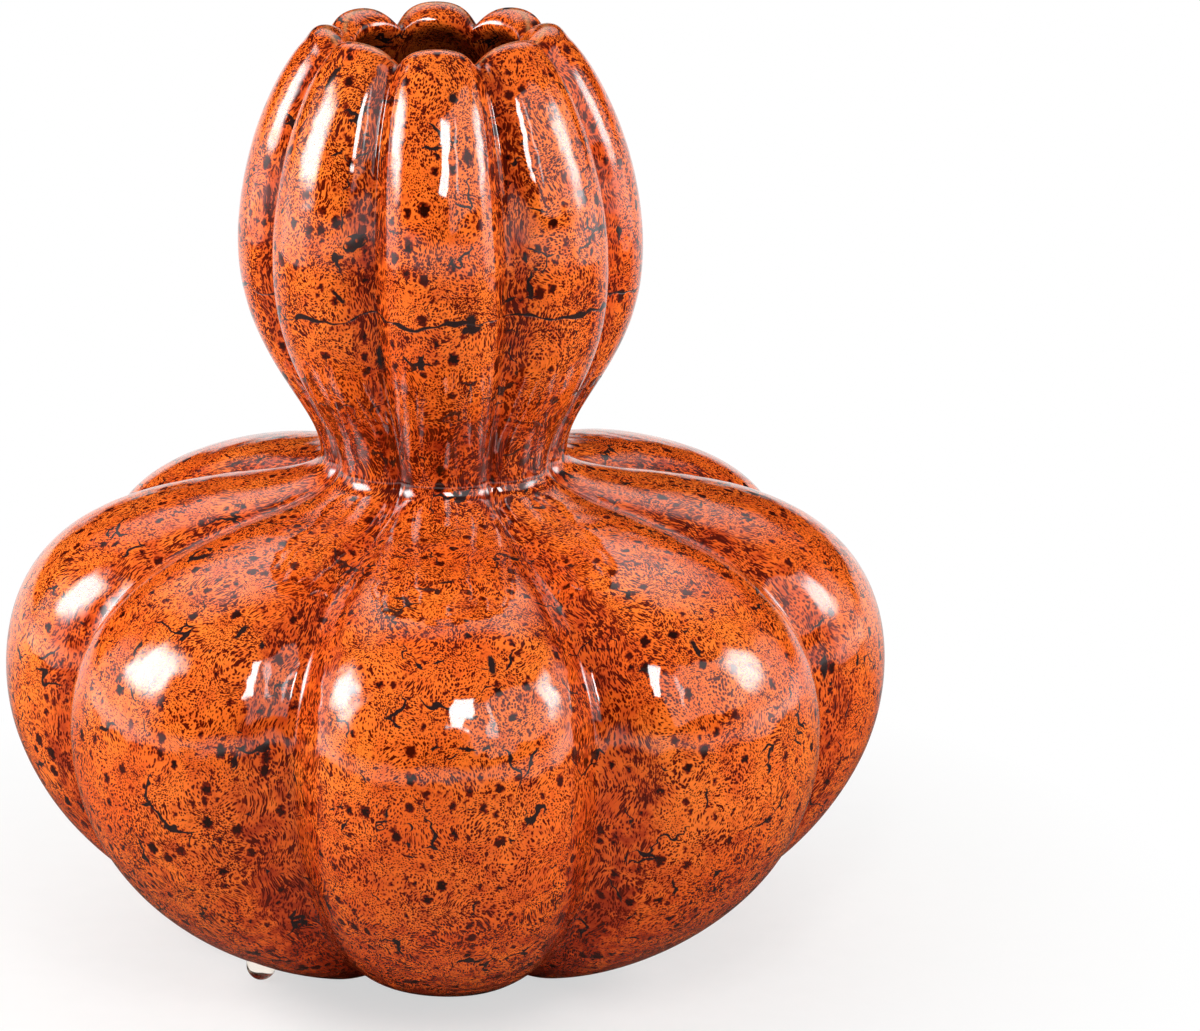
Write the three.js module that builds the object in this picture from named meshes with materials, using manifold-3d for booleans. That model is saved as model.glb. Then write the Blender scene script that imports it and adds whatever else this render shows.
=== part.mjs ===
// Lobed double gourd vase of glazed stoneware, in millimetres, +Z up, standing on z = 0.
// Two slip-cast gourds are luted together at the waist, and three clear domes carry them.
import * as THREE from 'three';
import { mergeVertices } from 'three/addons/utils/BufferGeometryUtils.js';
import Module from 'manifold-3d';

const wasm = await Module();
wasm.setup();

// Heights are measured from the unglazed foot, radii from the axis to the crest of a lobe.
const LOBES = 8;
const RIM_HEIGHT = 380;
const RIM_RADIUS = 44.5;
const LIP_HEIGHT = 373;
const LIP_RADIUS = 53.4;
const BULB_HEIGHT = 292;
const BULB_RADIUS = 81;
const WAIST_HEIGHT = 205.5;
const WAIST_RADIUS = 49.8;
const SHOULDER_HEIGHT = 189.7;
const SHOULDER_RADIUS = 98.5;
const BELLY_HEIGHT = 115.5;
const BELLY_RADIUS = 180;
const FOOT_RADIUS = 80.5;

// Grooves between the lobes: how far in from the crest they lie, and how far down or up.
const RIM_GROOVE = 4.4;
const RIM_NOTCH = 8;
const LIP_GROOVE = 6.3;
const LIP_NOTCH = 4.8;
const BULB_GROOVE = 13.2;
const WAIST_GROOVE = 4.2;
const SHOULDER_GROOVE = 12.5;
const SHOULDER_SINK = 5;
const BELLY_GROOVE = 25;
const FOOT_GROOVE = 11.5;
const FOOT_NOTCH = 3.5;

// How steeply the profiles run there, in degrees: 0 is level and outwards, -90 straight down.
const LIP_SLOPE = -46;
const SHOULDER_SLOPE = -10.5;
const SHOULDER_GROOVE_SLOPE = -15.5;
const FOOT_SLOPE = -160;

// A lobe's plan. LOBE_ROUNDNESS is 1 on a plain parabola, and less gives fuller flanks. The
// valleys are rounded over a share of their depth, and the inside of the wall is softer.
const LOBE_ROUNDNESS = 0.45;
const VALLEY_ROUNDING = 0.2;
const INNER_SOFTNESS = 0.5;

// Walls, mouth, floor and foot of the castings.
const WALL = 6;
const MOUTH_RADIUS = 35.8;
const MOUTH_DEPTH = 6.5;
const MOUTH_SCALLOP = 3;
const THROAT_PLACE = 0.35;
const FLOOR_THICKNESS = 10;
const FLOOR_RADIUS = 60;
const FOOT_PAD = 8;
const RECESS_RADIUS = 48;
const RECESS_DEPTH = 4;

// The luting joint is a layer of slip between the castings, with a bead smeared inside.
const CLEARANCE = 0.3;
const SLIP_LAYER = 1.2;
const BEAD_HEIGHT = 9;
const BEAD_THICKNESS = 3;

// Clear domes, each glued under a lobe a little to one side of its crest, that hold the foot
// clear of the ground. Lobes are counted from the front one, anticlockwise seen from above.
const FOOT_LIFT = 1.5;
const DOME_RADIUS = 6;
const DOME_RING = 95;
const DOME_FLAT = 0.4;
const DOME_OFF_CREST = 7.5;
const DOMES = [
  { name: 'bumper_front_left', lobe: 7, side: -1 },
  { name: 'bumper_right', lobe: 2, side: -1 },
  { name: 'bumper_back', lobe: 4, side: 1 },
];

// Facets: columns in a lobe, rows in each stretch of a profile, steps round a dome.
const LOBE_COLUMNS = 10;
const ROWS = { roll: 3, lip: 3, wall: 7, inside: 5, bead: 4 };
const DOME_STEPS = 24;
const DOME_RINGS = 6;

const GLAZE = { color: 0xdc5a22, roughness: 0.12, metalness: 0 };
const BARE_SLIP = { color: 0xcdb9a0, roughness: 0.85, metalness: 0 };
const CLEAR_RUBBER = { color: 0xe6e4de, roughness: 0.15, metalness: 0 };

const LOBE_ANGLE = (2 * Math.PI) / LOBES;
const FRONT = -Math.PI / 2;
const { degToRad, euclideanModulo, lerp } = THREE.MathUtils;

// How far an angle round the axis is from groove to crest: 0 in a groove, 1 on a crest.
function lobeShare(angle) {
  const half = LOBE_ANGLE / 2;
  const offCrest = (euclideanModulo(angle - FRONT + half, LOBE_ANGLE) - half) / half;
  const fall = offCrest ** 2 * lerp(offCrest ** 2, 1, LOBE_ROUNDNESS);
  const rounded = (share) => Math.hypot(share, VALLEY_ROUNDING) - VALLEY_ROUNDING;
  return rounded(1 - fall) / rounded(1);
}

// Inside the castings the lobes are softer, because slip has filled the ridges.
function innerLobeShare(angle) {
  const wave = (1 + Math.cos(LOBES * (angle - FRONT))) / 2;
  return lerp(lobeShare(angle), wave, INNER_SOFTNESS);
}

// A station is a point of a profile, the way the profile runs there, and how far it holds the
// curve straight before and after, as a share of the distance to the next station.
function station(radius, height, slope, before, after) {
  return { point: new THREE.Vector2(radius, height), slope: degToRad(slope), before, after };
}

function heading(slope) {
  return new THREE.Vector2(Math.cos(slope), Math.sin(slope));
}

function stretch(from, to) {
  const reach = from.point.distanceTo(to.point);
  const leave = heading(from.slope).multiplyScalar(reach * from.after).add(from.point);
  const arrive = heading(to.slope).multiplyScalar(-reach * to.before).add(to.point);
  return new THREE.CubicBezierCurve(from.point, leave, arrive, to.point);
}

// The points of a profile through its stations, with the given rows in each stretch.
function profile(stations, rows) {
  const stretches = rows.map((count, i) => stretch(stations[i], stations[i + 1]).getPoints(count).slice(1));
  return [stations[0].point, ...stretches.flat()];
}

// A station moved into the wall, square to the way the profile runs.
function inset(outer, distance) {
  const way = heading(outer.slope);
  const inward = new THREE.Vector2(way.y, -way.x).multiplyScalar(distance);
  return { ...outer, point: inward.add(outer.point) };
}

// A station part of the way along the stretch between two others.
function between(from, to, share, before, after) {
  const curve = stretch(from, to);
  const way = curve.getTangent(share);
  return { point: curve.getPoint(share), slope: way.angle(), before, after };
}

// Each casting ends half the slip layer and a clearance away from the middle of the waist.
const JOINT_HALF = SLIP_LAYER / 2 + CLEARANCE;

// The outer stations of each gourd, along a crest or along a groove.
function upperStations(inGroove) {
  const groove = (depth) => (inGroove ? depth : 0);
  return {
    mouth: station(MOUTH_RADIUS, RIM_HEIGHT - MOUTH_DEPTH - groove(MOUTH_SCALLOP), 90, 0.35, 0.35),
    rim: station(RIM_RADIUS - groove(RIM_GROOVE), RIM_HEIGHT - groove(RIM_NOTCH), 0, 0.35, 0.45),
    lip: station(LIP_RADIUS - groove(LIP_GROOVE), LIP_HEIGHT - groove(LIP_NOTCH), LIP_SLOPE, 0.36, 0.18),
    bulb: station(BULB_RADIUS - groove(BULB_GROOVE), BULB_HEIGHT, -90, 0.43, 0.52),
    waist: station(WAIST_RADIUS - groove(WAIST_GROOVE), WAIST_HEIGHT + JOINT_HALF, -90, 0.24, 0),
  };
}

function lowerStations(inGroove) {
  const groove = (depth) => (inGroove ? depth : 0);
  const shoulderRadius = SHOULDER_RADIUS - groove(SHOULDER_GROOVE);
  const shoulderHeight = SHOULDER_HEIGHT - groove(SHOULDER_SINK);
  const shoulderSlope = inGroove ? SHOULDER_GROOVE_SLOPE : SHOULDER_SLOPE;
  return {
    waist: station(WAIST_RADIUS - groove(WAIST_GROOVE), WAIST_HEIGHT - JOINT_HALF, -90, 0, 0.25),
    shoulder: station(shoulderRadius, shoulderHeight, shoulderSlope, 0.4, 0.36),
    belly: station(BELLY_RADIUS - groove(BELLY_GROOVE), BELLY_HEIGHT, -90, 0.47, 0.31),
    foot: station(FOOT_RADIUS - groove(FOOT_GROOVE), groove(FOOT_NOTCH), FOOT_SLOPE, 0.43, 0),
  };
}

// The outer profile of the upper gourd starts at the mouth and rolls over the lip.
function upperOuter(inGroove) {
  const s = upperStations(inGroove);
  return profile([s.mouth, s.rim, s.lip, s.bulb, s.waist], [ROWS.roll, ROWS.lip, ROWS.wall, ROWS.wall]);
}

function upperInner(inGroove) {
  const s = upperStations(inGroove);
  const mouth = { ...s.mouth, slope: degToRad(-90), after: 0.15 };
  const throat = inset(between(s.lip, s.bulb, THROAT_PLACE, 0.45, 0.35), WALL);
  const stations = [mouth, throat, inset(s.bulb, WALL), inset(s.waist, WALL)];
  return profile(stations, [ROWS.inside - 1, ROWS.inside - 1, ROWS.inside]);
}

// The profiles of the lower gourd run from the waist to the foot outside and to the floor inside.
function lowerOuter(inGroove) {
  const s = lowerStations(inGroove);
  return profile([s.waist, s.shoulder, s.belly, s.foot], [ROWS.inside, ROWS.wall, ROWS.wall + 1]);
}

function lowerInner(inGroove) {
  const s = lowerStations(inGroove);
  const floorRadius = inGroove ? FLOOR_RADIUS - FOOT_GROOVE : FLOOR_RADIUS;
  const floor = station(floorRadius, FLOOR_THICKNESS, 180, 0.4, 0);
  const stations = [inset(s.waist, WALL), inset(s.shoulder, WALL), inset(s.belly, WALL), floor];
  return profile(stations, [ROWS.inside - 1, ROWS.inside, ROWS.wall - 1]);
}

// A ring of points round the axis, between a point of the crest's profile and one of the groove's.
function ring(crest, groove, share) {
  const columns = LOBES * LOBE_COLUMNS;
  return Array.from({ length: columns }, (_, i) => {
    const angle = FRONT + (i / columns) * 2 * Math.PI;
    const at = groove.clone().lerp(crest, share(angle));
    return new THREE.Vector3(at.x * Math.cos(angle), at.x * Math.sin(angle), at.y + FOOT_LIFT);
  });
}

function rings(profileOf, share) {
  const groove = profileOf(true);
  return profileOf(false).map((crest, i) => ring(crest, groove[i], share));
}

function pole(height) {
  return [new THREE.Vector3(0, 0, height + FOOT_LIFT)];
}

// The skin over a run of rings. A ring of one point is a pole, and a closed run joins its ends.
function skin(run, closed = false) {
  const starts = run.map((_, i) => run.slice(0, i).reduce((sum, loop) => sum + loop.length, 0));
  const index = [];
  for (let i = 0; i < (closed ? run.length : run.length - 1); i += 1) {
    const next = (i + 1) % run.length;
    const columns = Math.max(run[i].length, run[next].length);
    for (let j = 0; j < columns; j += 1) {
      const here = starts[i] + (j % run[i].length);
      const beside = starts[i] + ((j + 1) % run[i].length);
      const below = starts[next] + (j % run[next].length);
      const across = starts[next] + ((j + 1) % run[next].length);
      if (run[i].length > 1) index.push(here, below, beside);
      if (run[next].length > 1) index.push(beside, below, across);
    }
  }
  const geometry = new THREE.BufferGeometry().setFromPoints(run.flat());
  geometry.setIndex(index);
  geometry.computeVertexNormals();
  return geometry;
}

function toSolid(geometry) {
  const plain = geometry.clone();
  plain.deleteAttribute('normal');
  plain.deleteAttribute('uv');
  const merged = mergeVertices(plain);
  const vertProperties = new Float32Array(merged.attributes.position.array);
  const triVerts = new Uint32Array(merged.index.array);
  return new wasm.Manifold(new wasm.Mesh({ numProp: 3, vertProperties, triVerts }));
}

function toGeometry(solid) {
  const mesh = solid.getMesh();
  const geometry = new THREE.BufferGeometry();
  geometry.setAttribute('position', new THREE.Float32BufferAttribute(mesh.vertProperties, 3));
  geometry.setIndex(Array.from(mesh.triVerts));
  geometry.computeVertexNormals();
  return geometry;
}

function piece(name, geometry, finish) {
  const mesh = new THREE.Mesh(geometry, new THREE.MeshStandardMaterial(finish));
  mesh.name = name;
  return mesh;
}

// The upper gourd: a lobed bulb whose scalloped rim rolls in to a round mouth, open at the waist.
function upperGourd() {
  const inner = rings(upperInner, innerLobeShare).slice(1).reverse();
  return skin([...inner, ...rings(upperOuter, lobeShare)], true);
}

// The outside of the lower gourd with its foot: a pad under each lobe's crest, and a round recess.
function lowerOuterRings() {
  const pad = (inGroove) => {
    const { point } = lowerStations(inGroove).foot;
    return [new THREE.Vector2(point.x - FOOT_PAD, point.y)];
  };
  const recess = () => [new THREE.Vector2(RECESS_RADIUS, RECESS_DEPTH)];
  return [...rings(lowerOuter, lobeShare), ...rings(pad, lobeShare), ...rings(recess, lobeShare), pole(RECESS_DEPTH)];
}

// The lower gourd: a lobed belly with its floor, open at the waist.
function lowerGourd() {
  const inner = rings(lowerInner, innerLobeShare).reverse();
  return skin([pole(FLOOR_THICKNESS), ...inner, ...lowerOuterRings()]);
}

// The slip between the castings: a thin layer out to the surface, and a rounded bead inside.
function waistJoint() {
  const layer = SLIP_LAYER / 2;
  const section = (radii, heights) => (inGroove) => {
    const outer = inGroove ? WAIST_RADIUS - WAIST_GROOVE : WAIST_RADIUS;
    return heights.map((height, i) => new THREE.Vector2(outer - radii[i], WAIST_HEIGHT + height));
  };
  const wallFace = WALL + CLEARANCE;
  const swell = wallFace + BEAD_THICKNESS * (4 / 3);
  const bead = new THREE.CubicBezierCurve(
    new THREE.Vector2(wallFace, -BEAD_HEIGHT / 2),
    new THREE.Vector2(swell, -BEAD_HEIGHT / 4),
    new THREE.Vector2(swell, BEAD_HEIGHT / 4),
    new THREE.Vector2(wallFace, BEAD_HEIGHT / 2),
  ).getPoints(ROWS.bead);
  const inside = [new THREE.Vector2(wallFace, -layer), ...bead, new THREE.Vector2(wallFace, layer)];
  const face = rings(section([0, 0], [layer, -layer]), lobeShare);
  const within = rings(section(inside.map((p) => p.x), inside.map((p) => p.y)), innerLobeShare);
  return skin([...face, ...within], true);
}

// The lower casting without its hollow, grown by the clearance that its neighbours keep.
function grownCasting() {
  const geometry = skin([pole(WAIST_HEIGHT), ...lowerOuterRings()]);
  const { position, normal } = geometry.attributes;
  const point = new THREE.Vector3();
  const outward = new THREE.Vector3();
  for (let i = 0; i < position.count; i += 1) {
    outward.fromBufferAttribute(normal, i);
    point.fromBufferAttribute(position, i).addScaledVector(outward, CLEARANCE);
    position.setXYZ(i, point.x, point.y, point.z);
  }
  return toSolid(geometry);
}

// A dome: a round post with a ball end, cut to fit the underside and cut flat where it stands.
function bumper({ lobe, side }, casting) {
  const angle = FRONT + lobe * LOBE_ANGLE + side * degToRad(DOME_OFF_CREST);
  const end = new THREE.EllipseCurve(0, 0, DOME_RADIUS, DOME_RADIUS, -Math.PI / 2, 0);
  const top = new THREE.Vector2(0, 2 * DOME_RADIUS);
  const post = new THREE.LatheGeometry([...end.getPoints(DOME_RINGS), top.clone().setX(DOME_RADIUS), top], DOME_STEPS);
  post.rotateX(Math.PI / 2);
  post.translate(DOME_RING * Math.cos(angle), DOME_RING * Math.sin(angle), DOME_RADIUS - DOME_FLAT);
  const ground = new THREE.BoxGeometry(2 * BELLY_RADIUS, 2 * BELLY_RADIUS, 2 * DOME_RADIUS);
  ground.translate(0, 0, -DOME_RADIUS);
  return toGeometry(toSolid(post).subtract(casting).subtract(toSolid(ground)));
}

const vase = new THREE.Group();
vase.add(piece('upper_gourd', upperGourd(), GLAZE));
vase.add(piece('waist_slip_joint', waistJoint(), BARE_SLIP));
vase.add(piece('lower_gourd', lowerGourd(), GLAZE));
const casting = grownCasting();
DOMES.forEach((dome) => vase.add(piece(dome.name, bumper(dome, casting), CLEAR_RUBBER)));

export default vase;
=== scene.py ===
"""Lobed double gourd vase of glazed stoneware, dressed for Blender 4.5 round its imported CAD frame.

Two slip-cast gourds with eight lobes in register are luted together at the waist and glazed as one,
and three clear stick-on domes carry them. Sizes are in millimetres until a mesh is made.
"""
from __future__ import annotations

import logging
import math
from collections.abc import Callable, Sequence
from dataclasses import dataclass, field, replace
from enum import Enum

import bpy
import numpy as np
from mathutils import Matrix, Quaternion, Vector
from mathutils.bvhtree import BVHTree


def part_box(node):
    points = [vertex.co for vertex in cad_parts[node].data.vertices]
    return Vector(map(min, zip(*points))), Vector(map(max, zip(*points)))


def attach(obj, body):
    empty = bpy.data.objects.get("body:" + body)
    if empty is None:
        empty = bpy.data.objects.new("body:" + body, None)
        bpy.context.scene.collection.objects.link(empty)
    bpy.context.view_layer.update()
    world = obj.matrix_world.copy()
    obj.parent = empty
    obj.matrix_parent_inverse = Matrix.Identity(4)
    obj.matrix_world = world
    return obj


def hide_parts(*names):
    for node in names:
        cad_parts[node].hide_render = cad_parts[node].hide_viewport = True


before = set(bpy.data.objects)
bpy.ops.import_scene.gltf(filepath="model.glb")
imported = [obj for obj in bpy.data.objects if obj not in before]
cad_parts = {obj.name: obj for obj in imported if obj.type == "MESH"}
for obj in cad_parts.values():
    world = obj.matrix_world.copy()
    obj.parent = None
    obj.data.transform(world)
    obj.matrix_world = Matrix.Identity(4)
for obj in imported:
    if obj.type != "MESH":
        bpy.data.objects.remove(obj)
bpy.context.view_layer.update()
log = logging.getLogger("gourd_vase")

MM = 0.001
# The crest of the front lobe lies towards -Y.
FRONT = -math.pi / 2
# The flow coordinates of each lobe lie this far from the next lobe's, so its pattern is its own.
LOBE_APART = 1000.0
SEED = 7

Tree = bpy.types.NodeTree
# A node that gives a value, a colour or a place at every point of a surface.
Pattern = bpy.types.Node
Socket = bpy.types.NodeSocket


class Node(Enum):
    """The CAD nodes, by the names that the frame gives them."""

    UPPER_GOURD = "upper_gourd"
    LOWER_GOURD = "lower_gourd"
    WAIST_JOINT = "waist_slip_joint"
    BUMPER_FRONT_LEFT = "bumper_front_left"
    BUMPER_RIGHT = "bumper_right"
    BUMPER_BACK = "bumper_back"


class Slot(Enum):
    """The record's material slots."""

    GLAZE = "glaze"
    SLIP = "slip"
    BUMPER = "bumper"


class Flow(Enum):
    """Names of the surface coordinates that follow the way the glaze ran, in millimetres."""

    CREST = "crest_flow"
    VALLEY = "valley_flow"
    LOBE = "lobe_share"
    LIP = "lip_share"


class Shader(Enum):
    """The kinds of shader node, by Blender's names, with the setting that tells some of them apart.

    A noise takes a place, a scale, how much detail and how rough. A range takes a value, where it
    starts and ends, and what it gives there. A mix takes a share, and what it gives at 0 and at 1.
    """

    OUTPUT = ("OutputMaterial",)
    LIGHT_OUTPUT = ("OutputLight",)
    PRINCIPLED = ("BsdfPrincipled",)
    DIFFUSE = ("BsdfDiffuse",)
    EMISSION = ("Emission",)
    MIX_SHADER = ("MixShader",)
    PLACE = ("TexCoord",)
    ATTRIBUTE = ("Attribute",)
    GEOMETRY = ("NewGeometry",)
    NOISE = ("TexNoise",)
    VORONOI = ("TexVoronoi",)
    ADD = ("Math", "operation", "ADD")
    SUBTRACT = ("Math", "operation", "SUBTRACT")
    MULTIPLY = ("Math", "operation", "MULTIPLY")
    MULTIPLY_ADD = ("Math", "operation", "MULTIPLY_ADD")
    ABSOLUTE = ("Math", "operation", "ABSOLUTE")
    MAXIMUM = ("Math", "operation", "MAXIMUM")
    POWER = ("Math", "operation", "POWER")
    LESS_THAN = ("Math", "operation", "LESS_THAN")
    VECTOR_SCALE = ("VectorMath", "operation", "SCALE")
    VECTOR_MULTIPLY = ("VectorMath", "operation", "MULTIPLY")
    VECTOR_MULTIPLY_ADD = ("VectorMath", "operation", "MULTIPLY_ADD")
    VECTOR_LENGTH = ("VectorMath", "operation", "LENGTH")
    RANGE = ("MapRange",)
    SMOOTH_RANGE = ("MapRange", "interpolation_type", "SMOOTHSTEP")
    SMOOTHER_RANGE = ("MapRange", "interpolation_type", "SMOOTHERSTEP")
    MAPPING = ("Mapping",)
    MIX_COLOUR = ("Mix", "data_type", "RGBA")
    MIX_VALUE = ("Mix", "data_type", "FLOAT")
    BUMP = ("Bump",)
    SPLIT = ("SeparateXYZ",)
    SPLIT_COLOUR = ("SeparateColor",)
    LIGHT_PATH = ("LightPath",)


def linear(colour: str) -> tuple[float, float, float, float]:
    """Turns an sRGB hex colour into linear light.

    Args:
        colour: Six hex digits after a hash.

    Returns:
        Red, green, blue and alpha, as Blender's colour sockets take them.
    """
    shares = [int(colour[i : i + 2], 16) / 255 for i in (1, 3, 5)]
    light = [s / 12.92 if s <= 0.04045 else ((s + 0.055) / 1.055) ** 2.4 for s in shares]
    return (*light, 1.0)


def add(
    tree: Tree, kind: Shader, *inputs: object, named: dict[str, object] | None = None, **settings: object
) -> Pattern:
    """Adds a node with its settings and links.

    Args:
        tree: The node tree to add to.
        kind: The kind of node.
        *inputs: A value, a socket, or a node whose first live output is meant, for the node's live
            sockets from the first one on.
        named: The same for other sockets, by their names.
        **settings: The node's own properties.

    Returns:
        The new node.
    """
    type_name, *setting = kind.value
    node = tree.nodes.new("ShaderNode" + type_name)
    if setting:
        setattr(node, *setting)
    for name, value in settings.items():
        setattr(node, name, value)
    live = [socket for socket in node.inputs if socket.enabled]
    by_name = {socket.name: socket for socket in reversed(live)}
    links = [*zip(live, inputs), *((by_name[name], value) for name, value in (named or {}).items())]
    for socket, value in links:
        if isinstance(value, Pattern):
            value = next(o for o in value.outputs if o.enabled)
        if isinstance(value, Socket):
            tree.links.new(value, socket)
        else:
            socket.default_value = value
    return node


def new_tree(name: str) -> tuple[bpy.types.Material, Tree]:
    """Makes an empty node material.

    Args:
        name: The material's name.

    Returns:
        The material and its node tree.
    """
    material = bpy.data.materials.new(name)
    material.use_nodes = True
    material.node_tree.nodes.clear()
    return material, material.node_tree


def place_in_millimetres(tree: Tree) -> Pattern:
    """The place on the object, in the unit that the patterns' real sizes are written in.

    Args:
        tree: The node tree.

    Returns:
        The node that gives the place.
    """
    place = add(tree, Shader.PLACE).outputs["Object"]
    return add(tree, Shader.VECTOR_SCALE, place, named={"Scale": 1 / MM})


def new_object(name: str, points: Sequence, faces: Sequence) -> bpy.types.Object:
    """Makes a smooth-shaded mesh object and links it to the scene.

    Args:
        name: The name of the object and its mesh.
        points: Places in metres.
        faces: The numbers of each face's points.

    Returns:
        The object.
    """
    mesh = bpy.data.meshes.new(name)
    mesh.from_pydata(np.array(points).tolist(), [], faces)
    mesh.polygons.foreach_set("use_smooth", [True] * len(faces))
    obj = bpy.data.objects.new(name, mesh)
    bpy.context.scene.collection.objects.link(obj)
    return obj


def dish_faces(rings: int, steps: int) -> list[tuple[int, ...]]:
    """The faces of a dish: a fan round point 0 in its middle, then bands of quads between its rings.

    Args:
        rings: How many rings of points there are.
        steps: How many points each ring has.

    Returns:
        The numbers of each face's points, wound so that the faces look up.
    """
    faces = [(0, 1 + i, 1 + (i + 1) % steps) for i in range(steps)]
    for start in range(1, 1 + (rings - 1) * steps, steps):
        for i in range(steps):
            a, b = start + i, start + (i + 1) % steps
            faces.append((a, a + steps, b + steps, b))
    return faces


@dataclass(frozen=True)
class Station:
    """A point of a profile, the way the profile runs there, and how long it holds that way.

    The holds are shares of the distance to the station before and the station after.
    """

    radius: float
    height: float
    slope: float
    before: float
    after: float

    @property
    def point(self) -> np.ndarray:
        """The station's radius and height."""
        return np.array([self.radius, self.height])

    @property
    def heading(self) -> np.ndarray:
        """The unit vector along the profile."""
        return np.array([math.cos(math.radians(self.slope)), math.sin(math.radians(self.slope))])

    def inset(self, distance: float) -> "Station":
        """The station moved into the wall, square to the profile.

        Args:
            distance: How far it moves.

        Returns:
            The moved station, with the same slope and holds.
        """
        along, up = self.heading
        return replace(self, radius=self.radius + up * distance, height=self.height - along * distance)


@dataclass(frozen=True)
class Stretch:
    """The curve of a profile between two stations."""

    start: Station
    end: Station

    @property
    def controls(self) -> list[np.ndarray]:
        """The four control points of the cubic curve."""
        reach = float(np.linalg.norm(self.end.point - self.start.point))
        leave = self.start.point + reach * self.start.after * self.start.heading
        arrive = self.end.point - reach * self.end.before * self.end.heading
        return [self.start.point, leave, arrive, self.end.point]

    def points(self, share: np.ndarray) -> np.ndarray:
        """Points of the curve.

        Args:
            share: How far along each point lies, from 0 to 1.

        Returns:
            A radius and a height for each share.
        """
        a, b, c, d = self.controls
        t = np.asarray(share, dtype=float)[:, None]
        return (1 - t) ** 3 * a + 3 * (1 - t) ** 2 * t * b + 3 * (1 - t) * t**2 * c + t**3 * d

    def between(self, share: float, before: float, after: float) -> Station:
        """A station part of the way along.

        Args:
            share: How far along it lies.
            before: Its hold before.
            after: Its hold after.

        Returns:
            The station, with the slope that the curve has there.
        """
        nudge = 0.001
        near = self.points(np.array([share - nudge, share, share + nudge]))
        along, up = near[2] - near[0]
        return Station(near[1][0], near[1][1], math.degrees(math.atan2(up, along)), before, after)


def profile(stations: Sequence[Station], rows: Sequence[int]) -> np.ndarray:
    """The points of a profile through its stations.

    Args:
        stations: The stations in order.
        rows: How many rows each stretch has.

    Returns:
        A radius and a height for each row, from the first station to the last.
    """
    stretches = [Stretch(a, b) for a, b in zip(stations, stations[1:])]
    runs = [s.points(np.linspace(0, 1, n + 1)[1:]) for s, n in zip(stretches, rows)]
    return np.vstack([stations[0].point, *runs])


@dataclass(frozen=True)
class LobePlan:
    """The plan of the lobes: how full their flanks are and how round the valleys between them."""

    lobes: int = 8
    roundness: float = 0.45
    valley: float = 0.2
    inner_softness: float = 0.5
    columns: int = 36

    @property
    def angles(self) -> np.ndarray:
        """The angle of every column round the axis, from the front crest on."""
        return FRONT + np.arange(self.lobes * self.columns) / (self.lobes * self.columns) * 2 * math.pi

    def share(self, angles: np.ndarray, inside: bool = False) -> np.ndarray:
        """How far places round the axis are from groove to crest: 0 in a groove, 1 on a crest.

        Args:
            angles: The places' angles round the axis.
            inside: The inner faces are softer, because slip has filled the ridges.

        Returns:
            The share of every place.
        """
        half = math.pi / self.lobes
        off_crest = ((angles - FRONT + half) % (2 * half) - half) / half
        fall = off_crest**2 * (self.roundness + (1 - self.roundness) * off_crest**2)
        outer = (np.hypot(1 - fall, self.valley) - self.valley) / (math.hypot(1, self.valley) - self.valley)
        if not inside:
            return outer
        wave = (1 + np.cos(self.lobes * (angles - FRONT))) / 2
        return outer + (wave - outer) * self.inner_softness


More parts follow.
